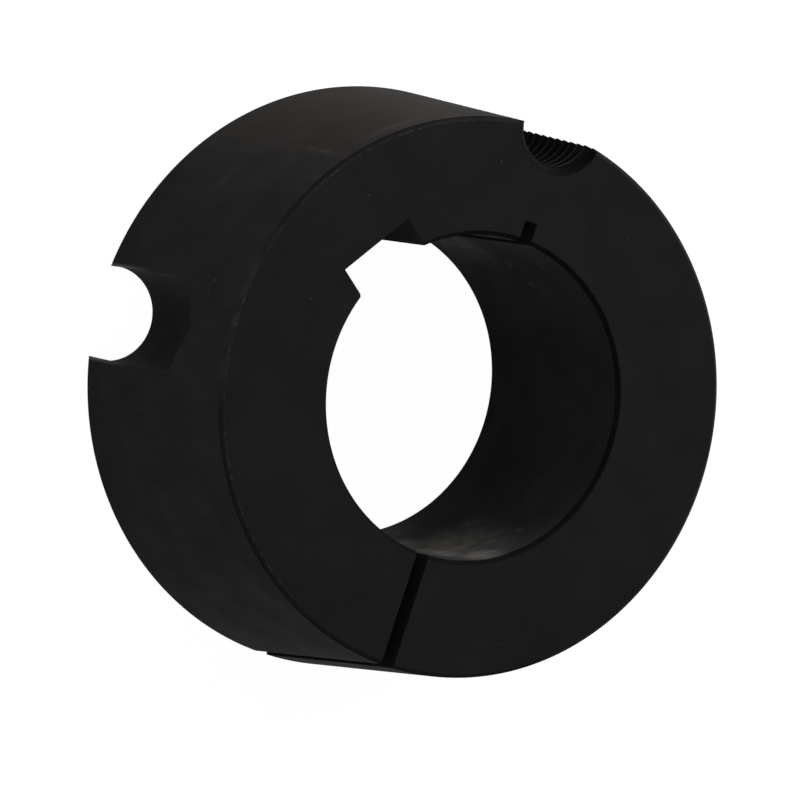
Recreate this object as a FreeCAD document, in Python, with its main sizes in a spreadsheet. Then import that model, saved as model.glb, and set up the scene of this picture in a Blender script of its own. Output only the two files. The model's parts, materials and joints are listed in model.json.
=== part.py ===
"""Split taper bush for a 38 mm keyed shaft: the cast iron sleeve that locks a pulley to a shaft.

The outside is an 8 degree taper that is drawn into the hub by two clamping screws.  Each screw
runs half in the hub and half in the bush, so the bush carries half-round pockets on its outer
edge: two plain blind ones that open at the large end and take the screws' push on their drilled
bottoms, and one tapped right through for the jacking screw that frees the bush again.  The wall
is sawn through opposite the jacking hole, and a relief slot under that hole lets the ring flex.

Frame: origin at the middle of the large end face, +Z along the shaft to the small end, +Y
through the jacking hole.  Angles run anticlockwise seen from the small end.
"""
import FreeCAD, Part
import os

import Sketcher

SHEET = "sizes"
NODE = "taper_bush"

# Driving dimensions: alias, value in mm or degrees, meaning.
SIZES = [
    ("large_end_dia", 69.85, "outside diameter in the plane of the large end face"),
    ("bush_length", 31.75, "from the large end face to the small end face"),
    ("taper_angle", 8.0, "included angle of the outside"),
    ("bore_dia", 38.0, "shaft diameter"),
    ("bore_chamfer", 0.5, "45 degree lead-in at both ends of the bore"),
    ("large_edge_break", 0.3, "45 degree break on the large end's outer edge"),
    ("small_edge_break", 0.45, "45 degree break on the small end's outer edge"),
    ("key_width", 10.0, "keyway width, for a 10 x 8 key"),
    ("keyway_depth", 3.3, "from the bore surface to the keyway floor, at its middle"),
    ("keyway_angle", 55.0, "from the jacking hole to the middle of the keyway"),
    ("split_width", 1.6, "saw cut right through the wall"),
    ("relief_width", 1.5, "slot in the bore under the jacking hole"),
    ("relief_depth", 2.6, "from the bore surface to the bottom of the relief slot"),
    ("screw_circle_dia", 66.4, "circle on which all three screw axes lie"),
    ("seat_dia", 11.2, "plain half hole, just clear of a 7/16 inch screw"),
    ("seat_depth", 19.4, "full-diameter depth from the large end face"),
    ("seat_mouth_break", 0.3, "45 degree break round the seat's mouth"),
    ("drill_point_angle", 118.0, "included angle of the drill's point at the seat's bottom"),
    ("seat_angle", 95.0, "from the jacking hole to the first seat"),
    ("tap_drill_dia", 9.25, "drilled size under the 7/16 inch Whitworth jacking thread"),
    ("tap_countersink_dia", 11.0, "90 degree countersink at both ends of the jacking hole"),
]
SEAT_COUNT = 2
JACKING_TURN = "90"
SPLIT_TURN = f"{JACKING_TURN} + 180"
MOUTH_ANGLE = 90
SAME_SIZE = 1e-4  # mm within which two radii or heights belong to one circle

# Sizes that follow from the driving ones, as the sheet's own expressions.
BORE_RADIUS = f"{SHEET}.bore_dia / 2"
LARGE_RADIUS = f"{SHEET}.large_end_dia / 2"
SMALL_RADIUS = f"{LARGE_RADIUS} - {SHEET}.bush_length * tan({SHEET}.taper_angle / 2)"
PITCH_RADIUS = f"{SHEET}.screw_circle_dia / 2"
KEYWAY_FLOOR = f"{BORE_RADIUS} + {SHEET}.keyway_depth"
RELIEF_BOTTOM = f"{BORE_RADIUS} + {SHEET}.relief_depth"
SAW_REACH = f"{LARGE_RADIUS} + {SHEET}.split_width"
KEYWAY_TURN = f"{JACKING_TURN} + {SHEET}.keyway_angle"
SEAT_TURN = f"{JACKING_TURN} + {SHEET}.seat_angle"
SEAT_MOUTH = f"{SHEET}.seat_dia + 2 * {SHEET}.seat_mouth_break"


def make_sheet(doc):
    """One row per driving dimension: its name, its aliased value and what it means."""
    sheet = doc.addObject("Spreadsheet::Sheet", SHEET)
    for row, (alias, value, meaning) in enumerate(SIZES, start=1):
        sheet.set(f"A{row}", alias)
        sheet.set(f"B{row}", str(value))
        sheet.set(f"C{row}", meaning)
        sheet.setAlias(f"B{row}", alias)
    doc.recompute()
    return sheet


def origin_feature(body, role):
    """One of the body's own origin planes or axes, such as XY_Plane or Z_Axis."""
    return next(item for item in body.Origin.OriginFeatures if item.Role == role)


def add_sketch(body, name, plane="XY_Plane", turn=None, lift=None):
    """A sketch on an origin plane, turned about its normal and lifted along it by expressions."""
    sketch = body.newObject("Sketcher::SketchObject", name)
    sketch.AttachmentSupport = (origin_feature(body, plane), [""])
    sketch.MapMode = "FlatFace"
    if turn:
        sketch.setExpression("AttachmentOffset.Rotation.Angle", turn)
    if lift:
        sketch.setExpression("AttachmentOffset.Base.z", lift)
    return sketch


def add_outline(sketch, corners):
    """A closed loop of lines through the corners, joined end to end."""
    count = len(corners)
    points = [FreeCAD.Vector(x, y, 0) for x, y in corners]
    for index in range(count):
        sketch.addGeometry(Part.LineSegment(points[index], points[(index + 1) % count]), False)
    for index in range(count):
        sketch.addConstraint(Sketcher.Constraint("Coincident", index, 2, (index + 1) % count, 1))


def bind(sketch, name, constraint, expression):
    """Adds a dimension to the sketch, names it and ties it to the sheet."""
    index = sketch.addConstraint(constraint)
    sketch.renameConstraint(index, name)
    sketch.setExpression(f"Constraints.{name}", expression)


def checked(doc, feature, removes):
    """Recomputes and makes sure that the feature worked and moved the volume the right way."""
    doc.recompute()
    if "Invalid" in feature.State or "Error" in feature.State or not feature.Shape.isValid():
        raise RuntimeError(f"{feature.Name} failed: {feature.State}")
    if removes and feature.Shape.Volume >= feature.BaseFeature.Shape.Volume:
        raise RuntimeError(f"{feature.Name} removed nothing")
    return feature


def turn_blank(doc, body):
    """The turned ring: a straight bore inside and the 8 degree taper outside."""
    bore, large, small, length = 19.0, 34.9, 32.7, 31.8
    sketch = add_sketch(body, "section", plane="YZ_Plane")
    add_outline(sketch, [(bore, 0), (large, 0), (small, length), (bore, length)])
    face, taper, far_face, wall = range(4)
    sketch.addConstraint(Sketcher.Constraint("Horizontal", face))
    sketch.addConstraint(Sketcher.Constraint("Horizontal", far_face))
    sketch.addConstraint(Sketcher.Constraint("Vertical", wall))
    sketch.addConstraint(Sketcher.Constraint("PointOnObject", face, 1, -1))
    bind(sketch, "bore_radius", Sketcher.Constraint("DistanceX", -1, 1, face, 1, bore), BORE_RADIUS)
    bind(sketch, "large_radius", Sketcher.Constraint("DistanceX", -1, 1, taper, 1, large), LARGE_RADIUS)
    bind(sketch, "small_radius", Sketcher.Constraint("DistanceX", -1, 1, taper, 2, small), SMALL_RADIUS)
    bind(sketch, "length", Sketcher.Constraint("DistanceY", -1, 1, far_face, 1, length),
         f"{SHEET}.bush_length")
    ring = body.newObject("PartDesign::Revolution", "ring")
    ring.Profile = sketch
    ring.ReferenceAxis = (origin_feature(body, "Z_Axis"), [""])
    ring.Angle = 360
    return checked(doc, ring, removes=False)


def rim_edges(shape, radius, height):
    """Names of the full circles of the given radius at the given height."""
    names = []
    for number, edge in enumerate(shape.Edges, start=1):
        if not isinstance(edge.Curve, Part.Circle):
            continue
        at_height = abs(edge.Curve.Center.z - height) < SAME_SIZE
        if at_height and abs(edge.Curve.Radius - radius) < SAME_SIZE:
            names.append(f"Edge{number}")
    return names


def break_rims(doc, body, sheet):
    """Turned chamfers: the lead-in at both ends of the bore, then the two outer edges."""
    blank = doc.getObject("ring").Shape
    radii = sorted(edge.Curve.Radius for edge in blank.Edges if isinstance(edge.Curve, Part.Circle))
    bore_radius = radii[0]
    small_radius = next(radius for radius in radii if radius > bore_radius + SAME_SIZE)
    rims = [
        ("bore_lead_in", "bore_chamfer", [(bore_radius, 0), (bore_radius, sheet.bush_length)]),
        ("large_rim", "large_edge_break", [(sheet.large_end_dia / 2, 0)]),
        ("small_rim", "small_edge_break", [(small_radius, sheet.bush_length)]),
    ]
    for name, size, circles in rims:
        base = body.Tip
        edges = [edge for circle in circles for edge in rim_edges(base.Shape, *circle)]
        chamfer = body.newObject("PartDesign::Chamfer", name)
        chamfer.Base = (base, edges)
        chamfer.setExpression("Size", f"{SHEET}.{size}")
        checked(doc, chamfer, removes=True)


def add_slot(doc, body, name, width, reach, turn):
    """A parallel-sided cut from the bush's axis out to the reach, along its whole length."""
    half, far = 1.0, 20.0
    sketch = add_sketch(body, f"{name}_sketch", turn=turn)
    add_outline(sketch, [(0, -half), (far, -half), (far, half), (0, half)])
    lower, end, upper, start = range(4)
    sketch.addConstraint(Sketcher.Constraint("Horizontal", lower))
    sketch.addConstraint(Sketcher.Constraint("Horizontal", upper))
    sketch.addConstraint(Sketcher.Constraint("Vertical", end))
    sketch.addConstraint(Sketcher.Constraint("Symmetric", start, 1, start, 2, -1, 1))
    bind(sketch, "width", Sketcher.Constraint("DistanceY", start, 2, start, 1, 2 * half), width)
    bind(sketch, "reach", Sketcher.Constraint("DistanceX", -1, 1, end, 1, far), reach)
    slot = body.newObject("PartDesign::Pocket", name)
    slot.Profile = sketch
    slot.Type = "ThroughAll"
    slot.Reversed = True
    return checked(doc, slot, removes=True)


def add_drilled_hole(doc, body, name, turn, diameter, mouth, depth=None, from_small_end=False):
    """A drilled hole on the screw circle; it breaks out of the taper and leaves half a hole."""
    radius = 5.0
    lift = f"{SHEET}.bush_length" if from_small_end else None
    sketch = add_sketch(body, f"{name}_sketch", turn=turn, lift=lift)
    circle = Part.Circle(FreeCAD.Vector(33, 0, 0), FreeCAD.Vector(0, 0, 1), radius)
    sketch.addGeometry(circle, False)
    sketch.addConstraint(Sketcher.Constraint("PointOnObject", 0, 3, -1))
    bind(sketch, "pitch_radius", Sketcher.Constraint("DistanceX", -1, 1, 0, 3, 33), PITCH_RADIUS)
    bind(sketch, "radius", Sketcher.Constraint("Radius", 0, radius), f"({diameter}) / 2")
    doc.recompute()
    hole = body.newObject("PartDesign::Hole", name)
    hole.Profile = sketch
    hole.Reversed = not from_small_end
    hole.ThreadType = "None"
    hole.setExpression("Diameter", diameter)
    hole.HoleCutType = "Countersink"
    hole.HoleCutCustomValues = True
    hole.HoleCutCountersinkAngle = MOUTH_ANGLE
    hole.setExpression("HoleCutDiameter", mouth)
    if depth:
        hole.DepthType = "Dimension"
        hole.DrillPoint = "Angled"
        hole.setExpression("DrillPointAngle", f"{SHEET}.drill_point_angle")
        hole.setExpression("Depth", depth)
    else:
        hole.DepthType = "ThroughAll"
    return checked(doc, hole, removes=True)


def sink_seats(doc, body):
    """The blind plain half holes for the clamping screws, spaced evenly round the taper."""
    seat = add_drilled_hole(doc, body, "seat", SEAT_TURN, f"{SHEET}.seat_dia", SEAT_MOUTH,
                            depth=f"{SHEET}.seat_depth")
    seats = body.newObject("PartDesign::PolarPattern", "seats")
    seats.Originals = [seat]
    seats.Axis = (origin_feature(body, "Z_Axis"), [""])
    seats.Angle = 360
    seats.Occurrences = SEAT_COUNT
    body.Tip = seats
    return checked(doc, seats, removes=True)


def drill_jacking_hole(doc, body):
    """The through half hole for the jacking screw, drilled for tapping and sunk at both ends."""
    size = f"{SHEET}.tap_drill_dia"
    mouth = f"{SHEET}.tap_countersink_dia"
    add_drilled_hole(doc, body, "jacking_hole", JACKING_TURN, size, mouth)
    add_drilled_hole(doc, body, "jacking_mouth", JACKING_TURN, size, mouth,
                     from_small_end=True)


def build_bush(doc):
    """The whole bush in the order that it is made: turned, keyed, drilled, then sawn."""
    sheet = make_sheet(doc)
    body = doc.addObject("PartDesign::Body", "bush")
    body.Label = NODE
    body.Placement = FreeCAD.Placement()
    turn_blank(doc, body)
    break_rims(doc, body, sheet)
    add_slot(doc, body, "keyway", f"{SHEET}.key_width", KEYWAY_FLOOR, KEYWAY_TURN)
    sink_seats(doc, body)
    drill_jacking_hole(doc, body)
    add_slot(doc, body, "relief", f"{SHEET}.relief_width", RELIEF_BOTTOM, JACKING_TURN)
    add_slot(doc, body, "split", f"{SHEET}.split_width", SAW_REACH, SPLIT_TURN)
    return body


def write_step(doc, body):
    """Checks every object once more, then writes the bush to its own file."""
    for item in doc.Objects:
        if "Invalid" in item.State or "Error" in item.State:
            raise RuntimeError(f"{item.Name} failed: {item.State}")
    shape = body.Shape
    if shape.isNull() or not shape.isValid() or len(shape.Solids) != 1:
        raise RuntimeError(f"{body.Label} isn't one valid solid")
    os.makedirs("parts", exist_ok=True)
    shape.exportStep(f"parts/{body.Label}.step")
    print(f"{body.Label}: {shape.Volume / 1000:.2f} cm3, {len(shape.Faces)} faces")


document = FreeCAD.newDocument("taper_bush")
write_step(document, build_bush(document))
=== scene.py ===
"""The looks of a split taper bush: fine-turned grey iron under a matt black phosphate coat.

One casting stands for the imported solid.  Its ring, keyway, sawn slots, drilled screw seats and
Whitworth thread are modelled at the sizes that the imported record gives.
"""
import bmesh
import bpy
import json
import math
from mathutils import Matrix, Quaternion, Vector


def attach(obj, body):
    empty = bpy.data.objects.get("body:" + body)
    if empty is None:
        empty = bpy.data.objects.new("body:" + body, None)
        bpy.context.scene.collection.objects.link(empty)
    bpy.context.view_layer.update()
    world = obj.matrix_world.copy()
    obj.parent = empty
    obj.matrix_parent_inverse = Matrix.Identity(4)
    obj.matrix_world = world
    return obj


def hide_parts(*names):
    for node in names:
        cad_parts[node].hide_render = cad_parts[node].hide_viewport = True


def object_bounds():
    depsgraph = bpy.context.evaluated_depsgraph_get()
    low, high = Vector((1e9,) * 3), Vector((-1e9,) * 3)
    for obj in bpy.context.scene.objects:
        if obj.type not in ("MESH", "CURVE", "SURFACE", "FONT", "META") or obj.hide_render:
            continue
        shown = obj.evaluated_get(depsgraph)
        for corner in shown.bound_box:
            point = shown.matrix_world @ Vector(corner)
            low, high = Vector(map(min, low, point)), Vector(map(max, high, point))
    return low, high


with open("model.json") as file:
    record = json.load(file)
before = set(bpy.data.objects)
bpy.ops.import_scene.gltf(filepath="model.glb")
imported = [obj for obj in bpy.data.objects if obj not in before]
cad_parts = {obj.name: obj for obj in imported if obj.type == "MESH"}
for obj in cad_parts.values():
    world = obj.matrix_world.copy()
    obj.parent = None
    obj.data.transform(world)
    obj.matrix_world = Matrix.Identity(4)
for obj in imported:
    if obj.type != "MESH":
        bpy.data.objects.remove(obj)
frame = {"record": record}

bl_info = {
    "name": "Taper bush",
    "version": (1, 0, 0),
    "blender": (4, 5, 0),
    "location": "3D View > Sidebar > Taper bush",
    "description": "Models a split taper bush and the plain studio that it stands in",
    "category": "Add Mesh",
}

MM = 0.001
NODE = "taper_bush"
CAD_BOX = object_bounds()
MOUNTS = {mount["name"]: mount for mount in frame["record"]["mounts"]}

WHITWORTH_ANGLE = math.radians(55)
WHITWORTH_ROUNDING = 0.1373  # radius of the thread's crest and root, in pitches
DRILL_POINT = math.radians(118)
CLEAR = 1.0 * MM  # how far a cutter runs out of the metal
SMALLEST_MERGE = 1e-6  # metres, below which two places are the same
THREAD_FOOT = 0.3 * MM  # how far the thread's cutter reaches inside the drilled hole

AIM = Vector((-0.9, -1.9, 15.9)) * MM  # the point that the camera looks at, near the middle

# Soft boxes: name, direction from the bush, distance, side (metres) and power (watts).
LAMPS = (
    ("back_box", (0.5, 0.8, 0.3), 0.35, 0.25, 1.8),
    ("front_box", (-0.5, -0.5, 0.7), 0.5, 0.25, 0.75),
    ("side_box", (-0.85, 0.1, 0.5), 0.18, 0.1, 0.05),
    ("top_box", (-0.1, 0.3, 0.95), 0.2, 0.15, 0.11),
)

# Rubbed places, and in the bore painted highlights too: angle round the bush (degrees), height,
# half width (degrees), half height, strength.
# In the bore: shaft smears, and painted highlights on the lower wall near -60 degrees and at the
# far end.
BORE_SMEARS_AND_HIGHLIGHTS = (
    (-68, 12, 13, 10, 1.0),
    (-68, 22, 12, 9, 1.0),
    (-62, 28, 12, 5, 0.9),
    (-58, 19, 24, 13, 0.75),
    (-43, 14.5, 9, 4, 0.25),
    (-44, 22, 4, 2, 0.35),
    (-64, 3, 18, 9, 0.6),
    (-40, 25.5, 3, 1.2, 0.25),
    (82, 8, 20, 12, 0.5),
    (69, 16.5, 3, 1.5, 0.2),
    (70, 25.5, 2, 0.8, 0.2),
    (59, 18, 2, 0.8, 0.2),
)
TAPER_SCUFFS = (
    (140, 25, 1.2, 8, 0.12),
    (127, 28.8, 13, 1.6, 0.1),
    (152, 13, 5, 2, 0.04),
)

# Widths of soft borders and of the skin that belongs to a surface, in millimetres.
SOFT_EDGE = 0.05
SOFT_BORDER = 0.1
TAPER_SKIN = 0.35
SLOT_SKIN = 0.02
FACE_SKIN = 0.005


def mount_angle(name):
    """Where a mount lies round the bush, anticlockwise from +X."""
    x, y, _ = MOUNTS[name]["pos_m"]
    return math.atan2(y, x)


def mount_radius(name):
    """How far a mount lies from the bush's axis."""
    x, y, _ = MOUNTS[name]["pos_m"]
    return math.hypot(x, y)


def linear(hex_colour):
    """An sRGB colour such as #1d1d1d as the linear red, green and blue that shaders take."""
    shares = [int(hex_colour[i:i + 2], 16) / 255 for i in (1, 3, 5)]
    return [s / 12.92 if s <= 0.04045 else ((s + 0.055) / 1.055) ** 2.4 for s in shares]


def length(name, millimetres, description):
    """A length property, written in millimetres."""
    return bpy.props.FloatProperty(name=name, description=description, unit="LENGTH",
                                   default=millimetres * MM, precision=5)


def colour(name, hex_colour, description):
    """A colour property, written as sRGB hex."""
    return bpy.props.FloatVectorProperty(name=name, description=description, subtype="COLOR",
                                         min=0, max=1, default=linear(hex_colour))


class BushSizes(bpy.types.PropertyGroup):
    """What a user would change on the bush itself."""

    large_radius: length("Large radius", 34.925, "Outside radius in the large end's plane")
    height: bpy.props.FloatProperty(
        name="Length", description="From the large end face to the small end face",
        unit="LENGTH", precision=5, default=CAD_BOX[1].z)
    bore_radius: bpy.props.FloatProperty(
        name="Bore radius", description="Half the shaft's diameter", unit="LENGTH", precision=5,
        default=MOUNTS["shaft_bore"]["dims"]["r_mm"] * MM)
    taper: bpy.props.FloatProperty(
        name="Taper", description="Included angle of the outside", subtype="ANGLE",
        default=math.radians(8))
    screw_circle: bpy.props.FloatProperty(
        name="Screw circle radius", description="Radius on which the screw axes lie",
        unit="LENGTH", precision=5, default=mount_radius("jacking_thread"))
    bore_chamfer: length("Bore chamfer", 0.5, "Lead-in at both ends of the bore")
    large_edge_break: length("Large edge break", 0.3, "Break on the large end's outer edge")
    small_edge_break: length("Small edge break", 0.45, "Break on the small end's outer edge")
    key_width: length("Keyway width", 10.0, "Between the keyway's side walls")
    key_depth: length("Keyway depth", 3.3, "From the bore's surface to the keyway's floor")
    split_width: length("Split width", 1.6, "Saw cut right through the wall")
    relief_width: length("Relief width", 1.5, "Slot in the bore under the jacking hole")
    relief_depth: length("Relief depth", 2.6, "From the bore's surface to the slot's bottom")
    seat_radius: length("Seat radius", 5.6, "Radius of a plain half hole")
    seat_depth: length("Seat depth", 19.4, "Full-diameter depth from the large end face")
    seat_break: length("Seat break", 0.3, "Break round a seat's mouth")
    thread_radius: length("Thread radius", 5.556, "Largest radius of the jacking thread")
    thread_pitch: length("Thread pitch", 1.814, "14 threads an inch")
    drilled_radius: length("Drilled radius", 4.625, "Radius drilled before the thread was cut")
    sink_radius: length("Countersink radius", 5.5, "Mouth of the jacking hole's countersink")


class BushFinish(bpy.types.PropertyGroup):
    """The coat's colours, painted shade and highlights among them, and how rough it is."""

    coat: colour("Coat", "#181818", "Phosphate coat where it is even")
    coat_light: colour("Thin coat", "#1f1f1f", "Phosphate coat where it lies thin")
    dragged: colour("Dragged coat", "#292624", "Streaks left by pulling the bush out of a hub")
    # Painted shade: darkens the edge breaks, the jacking hole and the slots.
    painted_shade: colour("Oiled coat", "#030303", "Phosphate coat that holds oil")
    # Worn specks on the rim, and painted highlights along its break.
    bare_iron_and_highlight: colour("Bare iron", "#8b8986", "Metal that shows at worn specks of the rim")
    # Rubbed places, and painted highlights on the seats' lips and the bore's lower wall.
    rubbed_and_highlight: colour("Rubbed coat", "#74716d", "Coat that a shaft or a hub has rubbed grey")
    # Painted warm sheen on the taper's upper side, a little lighter and warmer than the coat.
    warm_sheen_tint: colour("Tinged coat", "#1c1916", "Coat that old oil has browned")
    dust: colour("Dust", "#5a5855", "Settled dust specks")
    roughness: bpy.props.FloatProperty(
        name="Roughness", description="Roughness of the dry coat", subtype="FACTOR",
        min=0, max=1, default=0.85)


class StudioSettings(bpy.types.PropertyGroup):
    """Camera and lamps."""

    azimuth: bpy.props.FloatProperty(
        name="Camera azimuth", description="Direction that the camera looks from, 0 is from -Y",
        subtype="ANGLE", default=math.radians(-81.1))
    elevation: bpy.props.FloatProperty(
        name="Camera elevation", description="Height of the camera above the horizon",
        subtype="ANGLE", default=math.radians(62.2))
    roll: bpy.props.FloatProperty(
        name="Camera roll", description="Turn of the camera about its own line of sight",
        subtype="ANGLE", default=math.radians(100.2))
    distance: length("Camera distance", 799.4, "From the camera to the point that it aims at")
    lens: bpy.props.FloatProperty(
        name="Focal length", description="In millimetres on a 36 mm sensor", unit="CAMERA",
        default=304.7)
    floor_colour: colour("Floor", "#dcdcdc", "Painted floor")
    floor_size: length("Floor size", 6000, "Side of the square floor")
    shadow_share: bpy.props.FloatProperty(
        name="Shadow share", description="How much of the floor's own shading the camera sees",
        subtype="FACTOR", min=0, max=1, default=0.08)


def apply_place(piece):
    """Puts the object at the origin, unturned and unscaled, with its place in its mesh."""
    bpy.ops.object.select_all(action="DESELECT")
    piece.select_set(True)
    bpy.context.view_layer.objects.active = piece
    bpy.ops.object.transform_apply(location=True, rotation=True, scale=True)


def begin(name, add, **settings):
    """Adds a primitive with nothing else selected, names it and applies its place."""
    bpy.ops.object.select_all(action="DESELECT")
    scale = settings.pop("scale", (1, 1, 1))
    add(**settings)
    piece = bpy.context.active_object
    piece.name = piece.data.name = name
    piece.scale = scale
    apply_place(piece)
    return piece


def select_parts(piece, kind, test):
    """In edit mode, selects only the vertices, edges or faces that pass the test."""
    bpy.ops.mesh.select_mode(type=kind)
    bpy.ops.mesh.select_all(action="DESELECT")
    mesh = bmesh.from_edit_mesh(piece.data)
    for part in {"VERT": mesh.verts, "EDGE": mesh.edges, "FACE": mesh.faces}[kind]:
        part.select_set(test(part))
    mesh.select_flush_mode()
    bmesh.update_edit_mesh(piece.data)


def edit(piece):
    """Opens the piece in edit mode."""
    bpy.context.view_layer.objects.active = piece
    bpy.ops.object.mode_set(mode="EDIT")


def close_edit():
    """Turns every face outwards and leaves edit mode."""
    bpy.ops.mesh.select_all(action="SELECT")
    bpy.ops.mesh.normals_make_consistent(inside=False)
    bpy.ops.object.mode_set(mode="OBJECT")


def turn(piece, angle):
    """Turns a piece about the bush's axis and applies it."""
    piece.rotation_euler.z = angle
    apply_place(piece)


def cut(piece, cutter):
    """Takes the cutter's volume out of the piece and removes the cutter."""
    boolean = piece.modifiers.new("cut", "BOOLEAN")
    boolean.operation = "DIFFERENCE"
    boolean.solver = "MANIFOLD"
    boolean.object = cutter
    bpy.ops.object.select_all(action="DESELECT")
    piece.select_set(True)
    bpy.context.view_layer.objects.active = piece
    bpy.ops.object.modifier_apply(modifier=boolean.name)
    bpy.data.objects.remove(cutter)


def turn_ring(sizes, steps=360):
    """The turned blank: a wall section with its four edge breaks, spun about the bush's axis."""
    inner, outer, top = sizes.bore_radius, sizes.large_radius, sizes.height
    lean = top * math.tan(sizes.taper / 2)
    ring = begin("bush_casting", bpy.ops.mesh.primitive_plane_add, size=1,
                 location=((inner + outer) / 2, 0, top / 2), rotation=(math.pi / 2, 0, 0),
                 scale=(outer - inner, top, 1))

    def at(x, z):
        return lambda vertex: (abs(vertex.co.x - x) < SMALLEST_MERGE
                               and abs(vertex.co.z - z) < SMALLEST_MERGE)

    edit(ring)
    select_parts(ring, "VERT", at(outer, top))
    bpy.ops.transform.translate(value=(-lean, 0, 0))
    for size, corners in ((sizes.large_edge_break, [(outer, 0)]),
                          (sizes.small_edge_break, [(outer - lean, top)]),
                          (sizes.bore_chamfer, [(inner, 0), (inner, top)])):
        for x, z in corners:
            select_parts(ring, "VERT", at(x, z))
            bpy.ops.mesh.bevel(offset_type="OFFSET", offset=size, segments=1, affect="VERTICES")
    bpy.ops.mesh.select_all(action="SELECT")
    bpy.ops.mesh.delete(type="ONLY_FACE")
    bpy.ops.mesh.select_all(action="SELECT")
    bpy.ops.mesh.spin(steps=steps, angle=math.tau, center=(0, 0, 0), axis=(0, 0, 1))
    bpy.ops.mesh.select_all(action="SELECT")
    bpy.ops.mesh.remove_doubles(threshold=SMALLEST_MERGE)
    close_edit()
    return ring


def slot_cutter(name, width, reach, angle, height):
    """A bar as wide as the slot, from the bush's axis out to the reach, turned to its place."""
    bar = begin(name, bpy.ops.mesh.primitive_cube_add, size=1,
                location=(reach / 2, 0, height / 2),
                scale=(reach, width, height + 2 * CLEAR))
    turn(bar, angle)
    return bar


def cap_above(height):
    """A test for faces that lie at one height."""
    return lambda face: all(abs(v.co.z - height) < SMALLEST_MERGE for v in face.verts)


def seat_cutter(sizes, angle):
    """The drill's shape: a pointed cylinder that flares at the mouth, on the screw circle."""
    radius, depth, flare = sizes.seat_radius, sizes.seat_depth, sizes.seat_break
    centre = sizes.screw_circle
    drill = begin("seat_cutter", bpy.ops.mesh.primitive_cylinder_add, vertices=128, radius=radius,
                  depth=depth - flare, location=(centre, 0, (depth + flare) / 2),
                  end_fill_type="NGON")
    edit(drill)
    select_parts(drill, "FACE", cap_above(depth))
    bpy.ops.mesh.extrude_region_move(
        TRANSFORM_OT_translate={"value": (0, 0, radius / math.tan(DRILL_POINT / 2))})
    bpy.ops.mesh.merge(type="CENTER")
    select_parts(drill, "FACE", cap_above(flare))
    bpy.ops.mesh.extrude_region_move(TRANSFORM_OT_translate={"value": (0, 0, -flare - CLEAR)})
    growth = (radius + flare + CLEAR) / radius
    bpy.ops.transform.resize(value=(growth, growth, 1), center_override=(centre, 0, -CLEAR))
    close_edit()
    turn(drill, angle)
    return drill


def groove_outline(sizes, arc_steps=6):
    """The thread groove's section as (radius, height): flanks, a round root and an open foot."""
    half_angle = WHITWORTH_ANGLE / 2
    rounding = WHITWORTH_ROUNDING * sizes.thread_pitch
    root_middle = sizes.thread_radius - rounding
    points = []
    for step in range(arc_steps + 1):
        swing = (step / arc_steps * 2 - 1) * (math.pi / 2 - half_angle)
        points.append((root_middle + rounding * math.cos(swing), rounding * math.sin(swing)))
    foot_radius, foot_height = points[-1]
    inside = sizes.drilled_radius - THREAD_FOOT
    flare = foot_height + (foot_radius - inside) * math.tan(half_angle)
    return [(inside, -flare), *points, (inside, flare)]


def groove_cutter(sizes, steps=96):
    """The thread groove alone: its section wound round the screw axis past both end faces."""
    outline = groove_outline(sizes)
    start = -2 * sizes.thread_pitch
    turns = math.ceil(sizes.height / sizes.thread_pitch) + 4
    coil = begin("groove_cutter", bpy.ops.mesh.primitive_circle_add, vertices=len(outline),
                 fill_type="NOTHING")
    for vertex, (radius, height) in zip(coil.data.vertices, outline):
        vertex.co = (radius, 0, start + height)
    screw = coil.modifiers.new("wind", "SCREW")
    screw.axis = "Z"
    screw.angle = math.tau
    screw.screw_offset = sizes.thread_pitch
    screw.iterations = turns
    screw.steps = screw.render_steps = steps
    bpy.ops.object.modifier_apply(modifier=screw.name)
    edit(coil)
    bpy.ops.mesh.select_all(action="SELECT")
    bpy.ops.mesh.remove_doubles(threshold=SMALLEST_MERGE)
    for middle in (start, start + turns * sizes.thread_pitch):
        select_parts(coil, "EDGE", lambda edge: edge.is_boundary and all(
            abs(v.co.z - middle) < sizes.thread_pitch for v in edge.verts))
        bpy.ops.mesh.edge_face_add()
    close_edit()
    coil.location = (0, sizes.screw_circle, 0)
    apply_place(coil)
    return coil


def drill_cutter(sizes):
    """The drilled hole that the thread is tapped in, run out past both end faces."""
    return begin("drill_cutter", bpy.ops.mesh.primitive_cylinder_add, vertices=96,
                 radius=sizes.drilled_radius, depth=sizes.height + 2 * CLEAR,
                 location=(0, sizes.screw_circle, sizes.height / 2))


def countersink_cutter(sizes, height, direction):
    """A 90 degree cone on the jacking hole's axis, its mouth at one end face."""
    deep = sizes.sink_radius - 0.5 * sizes.drilled_radius
    tall = deep + CLEAR
    wide = sizes.sink_radius + CLEAR
    narrow = sizes.sink_radius - deep
    radii = (narrow, wide) if direction > 0 else (wide, narrow)
    return begin("countersink_cutter", bpy.ops.mesh.primitive_cone_add, vertices=110,
                 radius1=radii[0], radius2=radii[1], depth=tall,
                 location=(0, sizes.screw_circle, height + direction * (CLEAR - tall / 2)))


def model_casting(sizes):
    """The ring with everything cut into it, in the order that it is machined."""
    top = sizes.height
    casting = turn_ring(sizes)
    floor = sizes.bore_radius + sizes.key_depth
    cut(casting, slot_cutter("key_cutter", sizes.key_width, floor, mount_angle("keyway"), top))
    for name in ("clamping_seat_a", "clamping_seat_b"):
        cut(casting, seat_cutter(sizes, mount_angle(name)))
    jacking = mount_angle("jacking_thread")
    relief = sizes.bore_radius + sizes.relief_depth
    cut(casting, slot_cutter("relief_cutter", sizes.relief_width, relief, jacking, top))
    reach = sizes.large_radius + CLEAR
    cut(casting, slot_cutter("saw_cutter", sizes.split_width, reach, jacking + math.pi, top))
    cut(casting, drill_cutter(sizes))
    cut(casting, countersink_cutter(sizes, top, 1))
    cut(casting, countersink_cutter(sizes, 0, -1))
    cut(casting, groove_cutter(sizes))
    bpy.ops.object.shade_smooth_by_angle(angle=math.radians(30))
    return casting


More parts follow.
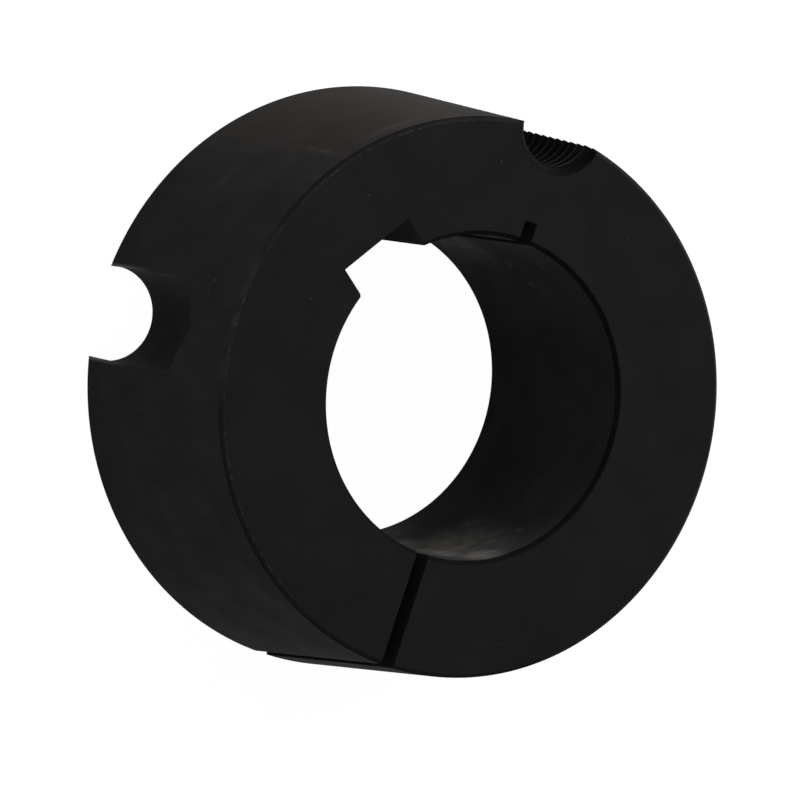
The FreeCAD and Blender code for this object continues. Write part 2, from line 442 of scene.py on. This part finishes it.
def add_node(tree, kind, settings=None, **inputs):
    """Adds one shader node; an input is a plain value or the output socket that feeds it."""
    node = tree.nodes.new(kind)
    for name, value in (settings or {}).items():
        setattr(node, name, value)
    for name, value in inputs.items():
        socket = node.inputs[int(name[1:])] if name[0] == "i" and name[1:].isdigit() \
            else node.inputs[name.replace("_", " ")]
        if isinstance(value, bpy.types.NodeSocket):
            tree.links.new(value, socket)
        else:
            socket.default_value = value
    return node


def phosphated_iron(finish, sizes):
    """Manganese phosphate on fine-turned grey iron.

    The coat is a felt of tiny crystals that soaks up light: near black and dry, with no shine
    when faced, and a pale bloom where the eye skims along it.  It lies cloudy, wears through to
    grey iron on the sharp rim, and rubs lighter where a shaft has slid in.  Painted shade darkens
    its slots, jacking hole and edge breaks, and painted highlights lie on the rim, the seats'
    lips, the bore's lower wall and, as a warm sheen, the taper's upper side.
    """
    material = bpy.data.materials.new("manganese_phosphate_on_turned_iron")
    material.use_nodes = True
    tree = material.node_tree
    shader = tree.nodes["Principled BSDF"]
    shader.inputs["Specular IOR Level"].default_value = 0.02
    shader.inputs["Sheen Weight"].default_value = 0.02
    shader.inputs["Sheen Roughness"].default_value = 0.5

    coordinates = add_node(tree, "ShaderNodeTexCoord")
    place = add_node(tree, "ShaderNodeMapping", None, Vector=coordinates.outputs["Object"],
                     Scale=(1 / MM, 1 / MM, 1 / MM)).outputs[0]
    axes = add_node(tree, "ShaderNodeSeparateXYZ", None, Vector=place)
    across = add_node(tree, "ShaderNodeVectorMath", {"operation": "MULTIPLY"},
                      i0=place, i1=(1, 1, 0))
    radius = add_node(tree, "ShaderNodeVectorMath", {"operation": "LENGTH"},
                      i0=across.outputs[0]).outputs["Value"]

    # The coat's clouds are about 6 mm wide, and its crystals, drawn coarse enough to show,
    # 0.25 mm.
    clouds = add_node(tree, "ShaderNodeTexNoise", None, Vector=place, Scale=1 / 6, Detail=4.0,
                      Roughness=0.6).outputs[0]
    crystals = add_node(tree, "ShaderNodeTexNoise", None, Vector=place, Scale=1 / 0.25,
                        Detail=2.0).outputs[0]
    thin_coat = add_node(tree, "ShaderNodeMapRange", None, Value=clouds, From_Min=0.36,
                         From_Max=0.75, To_Max=0.4).outputs[0]

    # Drag streaks, 1.5 mm wide and 6 mm long, lie on the taper only.
    drawn_out = add_node(tree, "ShaderNodeMapping", None, Vector=place,
                         Scale=(1 / 1.5, 1 / 1.5, 1 / 6)).outputs[0]
    drag = add_node(tree, "ShaderNodeTexNoise", None, Vector=drawn_out, Scale=1.0, Detail=3.0,
                    Roughness=0.55, Distortion=0.4).outputs[0]
    drag = add_node(tree, "ShaderNodeMapRange", None, Value=drag, From_Min=0.5,
                    From_Max=0.9, To_Max=0.4).outputs[0]
    reach = add_node(tree, "ShaderNodeMath", {"operation": "MULTIPLY_ADD"},
                     i0=axes.outputs[2], i1=math.tan(sizes.taper / 2), i2=radius).outputs[0]
    outside = add_node(tree, "ShaderNodeMapRange", None, Value=reach,
                       From_Min=sizes.large_radius / MM - TAPER_SKIN,
                       From_Max=sizes.large_radius / MM - SOFT_EDGE).outputs[0]
    drag = add_node(tree, "ShaderNodeMath", {"operation": "MULTIPLY"}, i0=drag,
                    i1=outside).outputs[0]
    # Painted warm sheen: the upper side of the taper, 12 to 28 mm towards the jacking hole, is
    # tinted warmer and a little lighter.
    upper = add_node(tree, "ShaderNodeMapRange", None, Value=axes.outputs[1], From_Min=12.0,
                     From_Max=28.0)
    painted_warm_sheen = add_node(tree, "ShaderNodeMath", {"operation": "MULTIPLY"}, i0=upper.outputs[0],
                     i1=outside).outputs[0]

    surface = (*finish.coat, 1)
    # Real tones and wear, with painted shade, a painted warm sheen and painted highlights among
    # them, laid on in turn.
    for shade, mask in (
            (finish.coat_light, thin_coat),
            (finish.warm_sheen_tint, painted_warm_sheen),
            (finish.dragged, drag),
            (finish.painted_shade, shaded_edge_breaks(tree, radius, outside, axes, sizes)),
            (finish.painted_shade, shaded_jacking_hole(tree, place, axes, sizes)),
            (finish.rubbed_and_highlight, rubs_and_painted_highlights(tree, place, radius, axes, outside, sizes)),
            (finish.painted_shade, shaded_slots(tree, axes, sizes)),
            (finish.rubbed_and_highlight, seat_lip_highlights(tree, place, outside, axes, sizes)),
            (finish.bare_iron_and_highlight, rim_wear_and_highlight(tree, place, radius, axes, sizes)),
            (finish.dust, dust_specks(tree, place))):
        surface = add_node(tree, "ShaderNodeMix", {"data_type": "RGBA"}, i0=mask, i6=surface,
                           i7=(*shade, 1)).outputs[2]
    tree.links.new(surface, shader.inputs["Base Color"])

    rough = add_node(tree, "ShaderNodeMapRange", None, Value=clouds, From_Min=0.3, From_Max=0.7,
                     To_Min=finish.roughness + 0.08, To_Max=finish.roughness - 0.08)
    tree.links.new(rough.outputs[0], shader.inputs["Roughness"])

    # Tool marks run round the faces and the walls alike, 0.2 mm apart.
    along_cut = add_node(tree, "ShaderNodeMath", {"operation": "ADD"}, i0=radius,
                         i1=axes.outputs[2]).outputs[0]
    turned = add_node(tree, "ShaderNodeTexNoise", {"noise_dimensions": "1D"}, W=along_cut,
                      Scale=1 / 0.2, Detail=2.0).outputs[0]
    tool_marks = add_node(tree, "ShaderNodeBump", None, Strength=1.0, Distance=0.002 * MM,
                          Height=turned)
    grain = add_node(tree, "ShaderNodeBump", None, Strength=1.0, Distance=0.012 * MM,
                     Height=crystals, Normal=tool_marks.outputs[0])
    tree.links.new(grain.outputs[0], shader.inputs["Normal"])
    return material


def shaded_jacking_hole(tree, place, axes, sizes):
    """The jacking hole, darkened with painted shade, most of all in the countersinks."""
    from_axis = add_node(tree, "ShaderNodeVectorMath", {"operation": "MULTIPLY_ADD"}, i0=place,
                         i1=(1, 1, 0), i2=(0, -sizes.screw_circle / MM, 0))
    reach = add_node(tree, "ShaderNodeVectorMath", {"operation": "LENGTH"},
                     i0=from_axis.outputs[0])
    inside = add_node(tree, "ShaderNodeMapRange", None, Value=reach.outputs["Value"],
                      From_Min=sizes.thread_radius / MM,
                      From_Max=sizes.thread_radius / MM + SOFT_EDGE, To_Min=1.0, To_Max=0.0)
    sink = (sizes.height / 2 - sizes.sink_radius + sizes.drilled_radius) / MM
    weight = add_node(tree, "ShaderNodeMapRange", None, Value=off_middle(tree, axes, sizes),
                      From_Min=sink - SOFT_BORDER, From_Max=sink + SOFT_BORDER, To_Min=0.66,
                      To_Max=0.92)
    return add_node(tree, "ShaderNodeMath", {"operation": "MULTIPLY"}, i0=inside.outputs[0],
                    i1=weight.outputs[0]).outputs[0]


def off_middle(tree, axes, sizes):
    """How far a point lies from the plane midway between the end faces."""
    above = add_node(tree, "ShaderNodeMath", {"operation": "SUBTRACT"}, i0=axes.outputs[2],
                     i1=sizes.height / 2 / MM)
    return add_node(tree, "ShaderNodeMath", {"operation": "ABSOLUTE"},
                    i0=above.outputs[0]).outputs[0]


def marks(tree, wall, places):
    """Soft spots on a wall, each given by its angle, height, half width, half height, strength."""
    total = 0.0
    for angle, height, wide, tall, strength in places:
        offset = add_node(tree, "ShaderNodeVectorMath", {"operation": "MULTIPLY_ADD"}, i0=wall,
                          i1=(1 / wide, 1 / tall, 0), i2=(-angle / wide, -height / tall, 0))
        away = add_node(tree, "ShaderNodeVectorMath", {"operation": "LENGTH"},
                        i0=offset.outputs[0])
        spot = add_node(tree, "ShaderNodeMapRange", {"interpolation_type": "SMOOTHSTEP"},
                        Value=away.outputs["Value"], From_Max=1.0, To_Min=strength, To_Max=0.0)
        total = add_node(tree, "ShaderNodeMath", {"operation": "MAXIMUM"}, i0=total,
                         i1=spot.outputs[0]).outputs[0]
    return total


def rubs_and_painted_highlights(tree, place, radius, axes, outside, sizes):
    """Smears that a shaft has left in the bore and a hub on the taper; in the bore some are
    painted highlights on the lower wall and at its far end.
    """
    bore = sizes.bore_radius / MM
    turned = add_node(tree, "ShaderNodeMath", {"operation": "ARCTAN2"}, i0=axes.outputs[1],
                      i1=axes.outputs[0])
    angle = add_node(tree, "ShaderNodeMath", {"operation": "DEGREES"}, i0=turned.outputs[0])
    wall = add_node(tree, "ShaderNodeCombineXYZ", None, X=angle.outputs[0],
                    Y=axes.outputs[2]).outputs[0]
    in_bore = add_node(tree, "ShaderNodeMapRange", None, Value=radius, From_Min=bore + SOFT_EDGE,
                       From_Max=bore + SOFT_BORDER, To_Min=1.0, To_Max=0.0)
    total = 0.0
    for area, places in ((in_bore.outputs[0], BORE_SMEARS_AND_HIGHLIGHTS), (outside, TAPER_SCUFFS)):
        spots = add_node(tree, "ShaderNodeMath", {"operation": "MULTIPLY"}, i0=area,
                         i1=marks(tree, wall, places))
        total = add_node(tree, "ShaderNodeMath", {"operation": "MAXIMUM"}, i0=total,
                         i1=spots.outputs[0]).outputs[0]
    # The smears break up into patches about 1.8 mm wide.
    smears = add_node(tree, "ShaderNodeTexNoise", None, Vector=place, Scale=1 / 1.8, Detail=6.0,
                      Roughness=0.6, Distortion=0.2)
    uneven = add_node(tree, "ShaderNodeMapRange", None, Value=smears.outputs[0], From_Min=0.36,
                      From_Max=0.66, To_Min=0.4)
    return add_node(tree, "ShaderNodeMath", {"operation": "MULTIPLY"}, i0=total,
                    i1=uneven.outputs[0]).outputs[0]


def shaded_edge_breaks(tree, radius, outside, axes, sizes):
    """Painted shade on the chamfers of the bore and the outer half of the outer breaks, fading out
    at -X.
    """
    half = sizes.height / 2 / MM
    bore = sizes.bore_radius / MM
    away = off_middle(tree, axes, sizes)
    near_end = add_node(tree, "ShaderNodeMath", {"operation": "GREATER_THAN"}, i0=away,
                        i1=half - sizes.bore_chamfer / MM)
    under_face = add_node(tree, "ShaderNodeMath", {"operation": "LESS_THAN"}, i0=away,
                          i1=half - FACE_SKIN)
    band = add_node(tree, "ShaderNodeMath", {"operation": "MULTIPLY"}, i0=near_end.outputs[0],
                    i1=under_face.outputs[0])
    at_bore = add_node(tree, "ShaderNodeMapRange", None, Value=radius,
                       From_Min=bore + sizes.bore_chamfer / MM,
                       From_Max=bore + sizes.bore_chamfer / MM + SOFT_BORDER, To_Min=0.8,
                       To_Max=0.0)
    at_rim = add_node(tree, "ShaderNodeMapRange", None, Value=axes.outputs[0],
                      From_Min=-0.96 * sizes.large_radius / MM,
                      From_Max=-0.8 * sizes.large_radius / MM, To_Max=0.45)
    at_rim = add_node(tree, "ShaderNodeMath", {"operation": "MULTIPLY"}, i0=at_rim.outputs[0],
                      i1=outside)
    either = add_node(tree, "ShaderNodeMath", {"operation": "MAXIMUM"}, i0=at_bore.outputs[0],
                      i1=at_rim.outputs[0])
    return add_node(tree, "ShaderNodeMath", {"operation": "MULTIPLY"}, i0=band.outputs[0],
                    i1=either.outputs[0]).outputs[0]


def seat_lip_highlights(tree, place, outside, axes, sizes):
    """Painted highlights along each half hole's edges near its mouth, fading with depth."""
    total = 0.0
    for name in ("clamping_seat_a", "clamping_seat_b"):
        angle = mount_angle(name)
        centre = (sizes.screw_circle / MM * math.cos(angle),
                  sizes.screw_circle / MM * math.sin(angle))
        from_axis = add_node(tree, "ShaderNodeVectorMath", {"operation": "MULTIPLY_ADD"},
                             i0=place, i1=(1, 1, 0), i2=(-centre[0], -centre[1], 0))
        reach = add_node(tree, "ShaderNodeVectorMath", {"operation": "LENGTH"},
                         i0=from_axis.outputs[0])
        lip = add_node(tree, "ShaderNodeMapRange", None, Value=reach.outputs["Value"],
                       From_Min=sizes.seat_radius / MM + SOFT_EDGE,
                       From_Max=sizes.seat_radius / MM + 0.45, To_Min=0.6, To_Max=0.0)
        total = add_node(tree, "ShaderNodeMath", {"operation": "MAXIMUM"}, i0=total,
                         i1=lip.outputs[0]).outputs[0]
    depth = add_node(tree, "ShaderNodeMapRange", {"interpolation_type": "SMOOTHSTEP"},
                     Value=axes.outputs[2], From_Min=1.0, From_Max=11.0, To_Min=1.0, To_Max=0.0)
    total = add_node(tree, "ShaderNodeMath", {"operation": "MULTIPLY"}, i0=total, i1=outside)
    return add_node(tree, "ShaderNodeMath", {"operation": "MULTIPLY"}, i0=total.outputs[0],
                    i1=depth.outputs[0]).outputs[0]


def shaded_slots(tree, axes, sizes):
    """1 on the walls of the split and of the relief, which the saw left and which take painted
    shade for their depth.
    """
    half_width = sizes.split_width / 2 / MM + SLOT_SKIN
    top = (sizes.bore_radius + sizes.relief_depth) / MM + SLOT_SKIN
    aside = add_node(tree, "ShaderNodeMath", {"operation": "ABSOLUTE"}, i0=axes.outputs[0])
    between = add_node(tree, "ShaderNodeMath", {"operation": "LESS_THAN"}, i0=aside.outputs[0],
                       i1=half_width)
    below = add_node(tree, "ShaderNodeMath", {"operation": "LESS_THAN"}, i0=axes.outputs[1],
                     i1=top)
    return add_node(tree, "ShaderNodeMath", {"operation": "MULTIPLY"}, i0=between.outputs[0],
                    i1=below.outputs[0]).outputs[0]


def rim_wear_and_highlight(tree, place, radius, axes, sizes):
    """Grey iron in thin dashes at the small end's rim, partly worn specks and partly a painted
    highlight along the break's inner edge, and one pale stretch at -X that is a painted highlight
    on the break.
    """
    break_width = sizes.small_edge_break / MM
    rim = (sizes.large_radius - sizes.height * math.tan(sizes.taper / 2)) / MM
    inner = (rim - break_width, sizes.height / MM)
    middle = (rim - break_width / 2, sizes.height / MM - break_width / 2)
    patches = add_node(tree, "ShaderNodeTexNoise", None, Vector=place, Scale=1 / 2, Detail=3.0)
    patchy = add_node(tree, "ShaderNodeMapRange", None, Value=patches.outputs[0], From_Min=0.38,
                      From_Max=0.6, To_Min=0.3)
    nicks = add_node(tree, "ShaderNodeTexNoise", None, Vector=place, Scale=1 / 0.5, Detail=4.0,
                     Roughness=0.7)
    dashes = add_node(tree, "ShaderNodeMapRange", None, Value=nicks.outputs[0], From_Min=0.48,
                      From_Max=0.72)
    total = 0.0
    for (out, up), reach, amount, breaks, ends in (
            (inner, 0.1, 0.16, dashes, (-0.6, 0.1)),
            (middle, break_width * 1.1, 0.04, patchy, (-0.98, -0.93))):
        offset = add_node(tree, "ShaderNodeCombineXYZ", None, X=radius, Y=axes.outputs[2])
        away = add_node(tree, "ShaderNodeVectorMath", {"operation": "DISTANCE"},
                        i0=offset.outputs[0], i1=(out, up, 0))
        edge = add_node(tree, "ShaderNodeMapRange", None, Value=away.outputs["Value"],
                        From_Min=reach * 0.5, From_Max=reach, To_Min=amount, To_Max=0.0)
        broken = add_node(tree, "ShaderNodeMath", {"operation": "MULTIPLY"},
                          i0=edge.outputs[0], i1=breaks.outputs[0])
        side = add_node(tree, "ShaderNodeMapRange", None, Value=axes.outputs[0],
                        From_Min=ends[0] * rim, From_Max=ends[1] * rim, To_Min=1.0, To_Max=0.0)
        worn = add_node(tree, "ShaderNodeMath", {"operation": "MULTIPLY"}, i0=broken.outputs[0],
                        i1=side.outputs[0])
        total = add_node(tree, "ShaderNodeMath", {"operation": "MAXIMUM"}, i0=total,
                         i1=worn.outputs[0]).outputs[0]
    return total


def dust_specks(tree, place):
    """Specks up to 0.18 mm across, some of them faint, two or three to each square centimetre."""
    cells = add_node(tree, "ShaderNodeTexVoronoi", None, Vector=place, Scale=1 / 1.5)
    chance = add_node(tree, "ShaderNodeSeparateColor", None, Color=cells.outputs["Color"])
    edge = add_node(tree, "ShaderNodeMath", {"operation": "MULTIPLY"}, i0=chance.outputs[0],
                    i1=0.06)
    speck = add_node(tree, "ShaderNodeMath", {"operation": "LESS_THAN"},
                     i0=cells.outputs["Distance"], i1=edge.outputs[0])
    bright = add_node(tree, "ShaderNodeMath", {"operation": "POWER"}, i0=chance.outputs[1],
                      i1=3.0)
    return add_node(tree, "ShaderNodeMath", {"operation": "MULTIPLY"}, i0=speck.outputs[0],
                    i1=bright.outputs[0]).outputs[0]


class BUSH_OT_casting(bpy.types.Operator):
    """Model the bush's casting and coat it"""

    bl_idname = "bush.casting"
    bl_label = "Casting"

    def execute(self, context):
        sizes = context.scene.bush_sizes
        casting = model_casting(sizes)
        casting.data.materials.clear()  # the cuts leave an empty slot
        casting.data.materials.append(phosphated_iron(context.scene.bush_finish, sizes))
        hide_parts(NODE)
        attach(casting, "root")
        return {"FINISHED"}


def add_camera(studio):
    """A long lens that looks down on the bush, turned about its line of sight."""
    camera = bpy.data.objects.new("camera", bpy.data.cameras.new("camera"))
    bpy.context.scene.collection.objects.link(camera)
    across = math.cos(studio.elevation)
    back = Vector((across * math.sin(studio.azimuth), -across * math.cos(studio.azimuth),
                   math.sin(studio.elevation)))
    camera.location = AIM + back * studio.distance
    camera.rotation_mode = "QUATERNION"
    camera.rotation_quaternion = ((-back).to_track_quat("-Z", "Y")
                                  @ Quaternion((0, 0, 1), studio.roll))
    camera.data.lens = studio.lens
    camera.data.sensor_width = 36
    camera.data.clip_start = 10 * MM
    camera.data.clip_end = 100
    bpy.context.scene.camera = camera


def add_lamp(name, direction, distance, size, power):
    """A square soft box that faces the bush."""
    lamp = bpy.data.lights.new(name, "AREA")
    lamp.size = size
    lamp.energy = power
    holder = bpy.data.objects.new(name, lamp)
    bpy.context.scene.collection.objects.link(holder)
    way = Vector(direction).normalized()
    holder.location = way * distance
    holder.rotation_mode = "QUATERNION"
    holder.rotation_quaternion = (-way).to_track_quat("-Z", "Y")
    holder.visible_camera = False


def seen_directly(tree):
    """1 for rays from the camera, and those mirrored or let through by the object."""
    path = add_node(tree, "ShaderNodeLightPath")
    glossy = add_node(tree, "ShaderNodeMath", {"operation": "MAXIMUM"},
                      i0=path.outputs["Is Camera Ray"], i1=path.outputs["Is Glossy Ray"])
    return add_node(tree, "ShaderNodeMath", {"operation": "MAXIMUM"},
                    i0=glossy.outputs[0], i1=path.outputs["Is Transmission Ray"]).outputs[0]


def painted_floor(studio):
    """Matt white painted board that glows white to the camera but keeps the bush's shadow."""
    material = bpy.data.materials.new("matt_painted_board")
    material.use_nodes = True
    tree = material.node_tree
    shader = tree.nodes["Principled BSDF"]
    shader.inputs["Base Color"].default_value = (*studio.floor_colour, 1)
    shader.inputs["Roughness"].default_value = 0.9
    shader.inputs["Specular IOR Level"].default_value = 0.0
    white = add_node(tree, "ShaderNodeEmission", None, Strength=1.06)
    share = add_node(tree, "ShaderNodeMath", {"operation": "MULTIPLY"},
                     i0=seen_directly(tree), i1=1 - studio.shadow_share)
    mix = add_node(tree, "ShaderNodeMixShader", None, Fac=share.outputs[0],
                   i1=shader.outputs[0], i2=white.outputs[0])
    tree.links.new(mix.outputs[0], tree.nodes["Material Output"].inputs["Surface"])
    return material


def light_world():
    """Even pale surroundings: white where they are seen, dimmer where they light the object."""
    world = bpy.data.worlds.new("studio")
    world.use_nodes = True
    bpy.context.scene.world = world
    tree = world.node_tree
    background = tree.nodes["Background"]
    background.inputs["Color"].default_value = (1, 1, 1, 1)
    strength = add_node(tree, "ShaderNodeMapRange", None, Value=seen_directly(tree),
                        To_Min=0.08, To_Max=1.0)
    tree.links.new(strength.outputs[0], background.inputs["Strength"])


class BUSH_OT_studio(bpy.types.Operator):
    """Add the floor, the soft lamps and the camera"""

    bl_idname = "bush.studio"
    bl_label = "Studio"

    def execute(self, context):
        studio = context.scene.bush_studio
        floor = begin("floor", bpy.ops.mesh.primitive_plane_add, size=studio.floor_size)
        floor.data.materials.append(painted_floor(studio))
        light_world()
        for lamp in LAMPS:
            add_lamp(*lamp)
        add_camera(studio)
        context.scene.view_settings.view_transform = "Standard"
        return {"FINISHED"}


class BUSH_PT_panel(bpy.types.Panel):
    """Lists what the add-on makes"""

    bl_idname = "BUSH_PT_panel"
    bl_label = "Taper bush"
    bl_space_type = "VIEW_3D"
    bl_region_type = "UI"
    bl_category = "Taper bush"

    def draw(self, context):
        for operator in (BUSH_OT_casting, BUSH_OT_studio):
            self.layout.operator(operator.bl_idname)
        for group in (context.scene.bush_sizes, context.scene.bush_finish,
                      context.scene.bush_studio):
            for name in group.__annotations__:
                self.layout.prop(group, name)


CLASSES = (BushSizes, BushFinish, StudioSettings, BUSH_OT_casting, BUSH_OT_studio, BUSH_PT_panel)


def register():
    for item in CLASSES:
        bpy.utils.register_class(item)
    bpy.types.Scene.bush_sizes = bpy.props.PointerProperty(type=BushSizes)
    bpy.types.Scene.bush_finish = bpy.props.PointerProperty(type=BushFinish)
    bpy.types.Scene.bush_studio = bpy.props.PointerProperty(type=StudioSettings)


def unregister():
    del bpy.types.Scene.bush_studio
    del bpy.types.Scene.bush_finish
    del bpy.types.Scene.bush_sizes
    for item in reversed(CLASSES):
        bpy.utils.unregister_class(item)


def main():
    """Makes the bush and its studio."""
    register()
    bpy.ops.bush.casting()
    bpy.ops.bush.studio()


if __name__ == "__main__":
    main()
